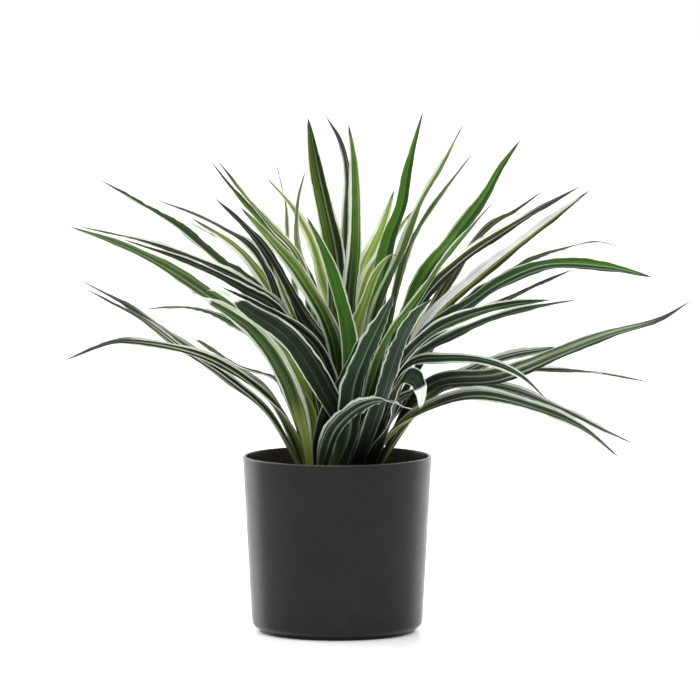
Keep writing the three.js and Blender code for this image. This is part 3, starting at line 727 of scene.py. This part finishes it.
# Uneven noise along the blade, then the cream margins with their wandering inner edge, the pale
# band beside them and the pale middle stripe.
streaks = lengthwise(7.0, 2.5, 4, 0.62)
lines = lengthwise(15.0, 1.6, 2)
drift = lengthwise(1.3, 9.0, 3)
edge = reckon(tree, "ABSOLUTE", given["Across"])
is_left = reckon(tree, "GREATER_THAN", given["Across"], 0.0)
cream_width = put(tree, "Mix", {0: is_left, 2: given["Right Cream"], 3: given["Left Cream"]}).outputs[0]
cream_width = reckon(tree, "MULTIPLY", cream_width, ramp(tree, given["Along"], 0.05, 0.9, 0.75, 1.75))
uneven = reckon(tree, "MULTIPLY_ADD", reckon(tree, "SUBTRACT", streaks, 0.5), 0.16, edge)
uneven = reckon(tree, "MULTIPLY_ADD", reckon(tree, "SUBTRACT", drift, 0.5), 0.2, uneven)
from_line = reckon(tree, "SUBTRACT", uneven, reckon(tree, "SUBTRACT", 1.0, cream_width))
cream_share = ramp(tree, from_line, -0.008, 0.012)
halo = reckon(tree, "MULTIPLY_ADD", given["Lines"], 0.9, 0.2)
halo = reckon(tree, "MULTIPLY", ramp(tree, from_line, -0.14, -0.1), halo)
stripe_edge = reckon(tree, "MULTIPLY_ADD", reckon(tree, "SUBTRACT", streaks, 0.5), 0.12, edge)
stripe_share = ramp(tree, reckon(tree, "SUBTRACT", given["Stripe"], stripe_edge), -0.01, 0.015, 0, 0.5)
# The green, turned to the base's own green at the base, which is painted shade where that green is near
# black, with painted light on the half that catches the light and painted shade on the other half.
green = blend(tree, ramp(tree, given["Along"], 0.35, 0.8), given["Green"], given["Far Green"])
green = blend(tree, given["Under"], green, given["Other Green"])
lit_side = reckon(tree, "MULTIPLY", given["Across"], given["Lit Side"])
green = blend(tree, ramp(tree, lit_side, -0.02, 0.04, 0, 0.5), green, given["Vein"])
base_share = reckon(tree, "DIVIDE", given["Along"], given["Base Reach"])
green = blend(tree, ramp(tree, base_share, 1.0, 0.45, 0, 0.9), green, given["Base Green"])
# Painted shade: near-black on the half away from the light.
green = blend(tree, ramp(tree, lit_side, 0.02, -0.1, 0, 0.55), green, paint("0b110a"))
# Veins, flecks and fine lines in the green, its midrib, and the pale and dark bands by the cream.
green = blend(tree, ramp(tree, streaks, 0.45, 0.75, 0, 0.35), green, given["Vein"])
vein_lines = reckon(tree, "MULTIPLY", ramp(tree, lines, 0.54, 0.58, 0, 0.8), given["Lines"])
green = blend(tree, vein_lines, green, given["Vein"])
fleck = ramp(tree, lengthwise(34.0, 30.0, 1), 0.72, 0.76, 0, 0.3)
green = blend(tree, fleck, green, given["Cream"])
midrib = ramp(tree, edge, 0.08, 0.015)
green = blend(tree, reckon(tree, "MULTIPLY", midrib, 0.2), green, given["Vein"])
green = blend(tree, halo, green, given["Vein"])
bands = reckon(tree, "MULTIPLY_ADD", given["Across"], 8.0, given["Seed"])
bands = reckon(tree, "SINE", reckon(tree, "MULTIPLY_ADD", lengthwise(3.0, 1.2, 2), 5.0, bands))
dark_lines = reckon(tree, "MULTIPLY", ramp(tree, bands, 0.2, 0.35), given["Lines"])
green = blend(tree, dark_lines, green, paint("0f1610"))
pale_lines = reckon(tree, "MULTIPLY", ramp(tree, bands, -0.86, -0.93), given["Lines"])
green = blend(tree, pale_lines, green, given["Cream"])
beside_cream = reckon(tree, "ABSOLUTE", reckon(tree, "ADD", from_line, 0.05))
green = blend(tree, ramp(tree, beside_cream, 0.05, 0.01, 0, 0.5), green, paint("10160f"))
green = blend(tree, stripe_share, green, blend(tree, 0.5, given["Vein"], given["Cream"]))
colour = blend(tree, cream_share, green, given["Cream"])
cream_lines = reckon(tree, "MULTIPLY", ramp(tree, streaks, 0.54, 0.66, 0, 0.45), cream_share)
colour = blend(tree, cream_lines, colour, given["Vein"])
# Cloudy shade and fibres over green and cream alike.
shade = ramp(tree, noise(tree, given["Place"], 28, 3), 0.3, 0.7, 0.85, 1.12)
fibres = ramp(tree, lengthwise(22.0, 5.0, 3, 0.7), 0.36, 0.64, 0.74, 1.2)
shade = reckon(tree, "MULTIPLY", shade, fibres)
grey = put(tree, "CombineColor", {0: shade, 1: shade, 2: shade}).outputs[0]
colour = blend(tree, 1.0, colour, grey, "MULTIPLY")
# The base's green over all, painted shade where it is near black, then painted shade at the edge of the
# half away from the light, the darker end, the white end, the pale root and the dry tip.
colour = blend(tree, ramp(tree, base_share, 0.95, 0.2, 0, 0.8), colour, given["Base Green"])
# Painted shade: a near-black band along the outer edge of the half away from the light.
from_shade_edge = reckon(tree, "ADD", lit_side, reckon(tree, "SUBTRACT", 1.0, given["Dark Edge"]))
colour = blend(tree, ramp(tree, from_shade_edge, 0.0, -0.03, 0, 0.9), colour, paint("151a13"))
end = reckon(tree, "SUBTRACT", given["Along"], given["Dark From"])
colour = blend(tree, ramp(tree, end, 0.0, 0.08, 0, 0.8), colour, paint("343c32"))
white_end = ramp(tree, reckon(tree, "SUBTRACT", given["Along"], given["White From"]), -0.006, 0.012)
colour = blend(tree, white_end, colour, paint("eceee6"))
colour = blend(tree, ramp(tree, given["Along"], 0.05, 0.0, 0, 0.6), colour, paint("b9c578"))
dry = ramp(tree, reckon(tree, "MULTIPLY_ADD", streaks, 0.03, given["Along"]), 0.97, 1.0)
colour = blend(tree, dry, colour, paint("4a4a40"))
tree.links.new(colour, out["Colour"])
tree.links.new(ramp(tree, streaks, 0.3, 0.7, 0.36, 0.5), out["Roughness"])
veins = reckon(tree, "SINE", reckon(tree, "MULTIPLY", given["Across"], 46.0))
tree.links.new(reckon(tree, "MULTIPLY_ADD", midrib, -1.5, veins), out["Height"])


def leaf_finish(number):
    """A leaf's own finish: waxy, a little see-through to light, and variegated."""
    plan = LEAVES[number]
    finish = FINISHES[plan.finish]
    material, tree, shader, place = finish_of(f"{plan.finish}_{number + 1:02d}")
    pattern = put(tree, "Group", node_tree=variegation)
    chosen = {
        "Green": paint(finish.green), "Vein": paint(finish.vein),
        "Other Green": paint(finish.other_green), "Cream": paint(finish.cream),
        "Base Green": paint(finish.base_green), "Far Green": paint(finish.far_green),
        "Left Cream": plan.left, "Right Cream": plan.right, "Stripe": plan.stripe,
        "Lit Side": plan.lit, "Base Reach": finish.base_reach, "Dark From": finish.dark_from,
        "Lines": finish.lines, "Dark Edge": finish.dark_edge, "White From": plan.white_from,
        "Seed": PATTERN_STEP * number}
    for title, value in chosen.items():
        pattern.inputs[title].default_value = value
    for title in ("Across", "Along", "Under"):
        told = put(tree, "Attribute", attribute_name=title.lower()).outputs["Fac"]
        tree.links.new(told, pattern.inputs[title])
    tree.links.new(place, pattern.inputs["Place"])
    tree.links.new(pattern.outputs["Colour"], shader.inputs["Base Color"])
    tree.links.new(pattern.outputs["Roughness"], shader.inputs["Roughness"])
    shader.inputs["Specular IOR Level"].default_value = 0.06
    relief(tree, shader, pattern.outputs["Height"], 0.35, 0.0002)
    see_through = put(tree, "BsdfTranslucent", {"Color": paint(finish.light)})
    mixed = put(tree, "MixShader", {0: finish.glow, 1: shader.outputs[0], 2: see_through.outputs[0]})
    tree.links.new(mixed.outputs[0], tree.nodes["Material Output"].inputs["Surface"])
    return material


for number, (radius, root_angle) in sorted(root_places().items()):
    rows, share, facing = blade(number, radius, root_angle)
    stations, ring = rows.shape[:2]
    title = f"leaf_{number + 1:02d}"
    faces = blade_faces(stations, ring)
    leaf = piece_of(f"blade_{number + 1:02d}", rows.reshape(-1, 3), faces, smooth_under=50)
    across = np.tile(np.concatenate([ACROSS, ACROSS[::-1]]) * facing, stations)
    seen, hidden = (0.0, 1.0) if facing > 0 else (1.0, 0.0)
    under = np.tile([seen] * len(ACROSS) + [hidden] * len(ACROSS), stations)
    for attribute, values in [("across", across), ("along", np.repeat(share, ring)), ("under", under)]:
        told = leaf.data.attributes.new(attribute, "FLOAT", "POINT")
        told.data.foreach_set("value", values.astype(np.float32))
    leaf.data.materials.append(leaf_finish(number))
    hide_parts(title)

# The plant stands on a plain pale studio floor under soft light from above, behind and the sides.
FLOOR_REACH = 14
floor_corners = [(FLOOR_REACH * x, FLOOR_REACH * y, 0) for x, y in ((-1, -1), (1, -1), (1, 1), (-1, 1))]
floor_mesh = bpy.data.meshes.new("studio_floor")
floor_mesh.from_pydata(floor_corners, [], [(0, 1, 2, 3)])
floor = bpy.data.objects.new("studio_floor", floor_mesh)
bpy.context.collection.objects.link(floor)
pale, tree, shader, place = finish_of("pale_floor")
tint = blend(tree, noise(tree, place, 3, 2), paint("f4f4f4"), paint("f8f8f8"))
tree.links.new(tint, shader.inputs["Base Color"])
shader.inputs["Roughness"].default_value = 0.3
shader.inputs["Specular IOR Level"].default_value = 0.35
shader.inputs["Emission Color"].default_value = (1, 1, 1, 1)
shader.inputs["Emission Strength"].default_value = 0.2
floor_mesh.materials.append(pale)


def softbox(name, place, aim, size, power):
    """A soft light from a panel that is turned to its aim and doesn't show itself."""
    light = bpy.data.lights.new(name, "AREA")
    light.shape = "RECTANGLE"
    light.size, light.size_y = size
    light.energy = power
    lamp = bpy.data.objects.new(name, light)
    bpy.context.collection.objects.link(lamp)
    lamp.location = place
    way = np.array(aim, float) - np.array(place, float)
    turn = math.atan2(way[1], way[0])
    tilt = math.atan2(math.hypot(way[0], way[1]), -way[2])
    lamp.rotation_euler = (tilt, 0, turn - math.pi / 2)
    lamp.visible_camera = False


softbox("overhead", (-0.5, -0.4, 2.6), (0, 0, 0.2), (1.6, 1.4), 26)
softbox("left_panel", (-2.2, 1.6, 0.9), (0, 0, 0.2), (1.2, 2.2), 22)
softbox("right_panel", (2.2, 1.6, 0.9), (0, 0, 0.2), (1.2, 2.2), 8)

# The room itself is pale, brighter above and behind the plant, and plain white to the camera.
world = bpy.data.worlds.new("studio")
bpy.context.scene.world = world
world.use_nodes = True
tree = world.node_tree
tree.nodes.clear()
way = put(tree, "SeparateXYZ", {0: put(tree, "TexCoord").outputs["Generated"]}).outputs
from_above = ramp(tree, way[2], 0.1, 0.8, 0.28, 1.45)
from_behind = ramp(tree, way[1], 0.25, 0.8, 0.28, 1.5)
strength = reckon(tree, "MAXIMUM", from_above, from_behind)
lit = put(tree, "Background", {"Color": (1, 1, 1, 1), "Strength": strength})
shown = put(tree, "Background", {"Color": (1, 1, 1, 1), "Strength": 1.0})
camera_ray = put(tree, "LightPath").outputs["Is Camera Ray"]
by_ray = put(tree, "MixShader", {0: camera_ray, 1: lit.outputs[0], 2: shown.outputs[0]})
tree.links.new(by_ray.outputs[0], put(tree, "OutputWorld").inputs["Surface"])

# The plant is seen from far off with a long lens, and a little from above. The view is aimed at
# a height above the floor, and a hair to the right of straight ahead, both in metres.
CAMERA_AIM, CAMERA_SWING = 0.22406, 0.00015
CAMERA_LENS, CAMERA_SENSOR, CAMERA_REACH = 292.9, 36, 60
camera = bpy.data.objects.new("camera", bpy.data.cameras.new("camera"))
bpy.context.collection.objects.link(camera)
camera.location = (VIEW_ACROSS * MM, -VIEW_DISTANCE * MM, VIEW_HEIGHT * MM)
down = math.atan2(VIEW_HEIGHT * MM - CAMERA_AIM, VIEW_DISTANCE * MM)
camera.rotation_euler = (math.pi / 2 - down, 0, -math.atan2(CAMERA_SWING, VIEW_DISTANCE * MM))
camera.data.lens = CAMERA_LENS
camera.data.sensor_width = CAMERA_SENSOR
camera.data.clip_end = CAMERA_REACH
bpy.context.scene.camera = camera
bpy.context.scene.view_settings.view_transform = "Standard"
bpy.context.scene.view_settings.look = "None"
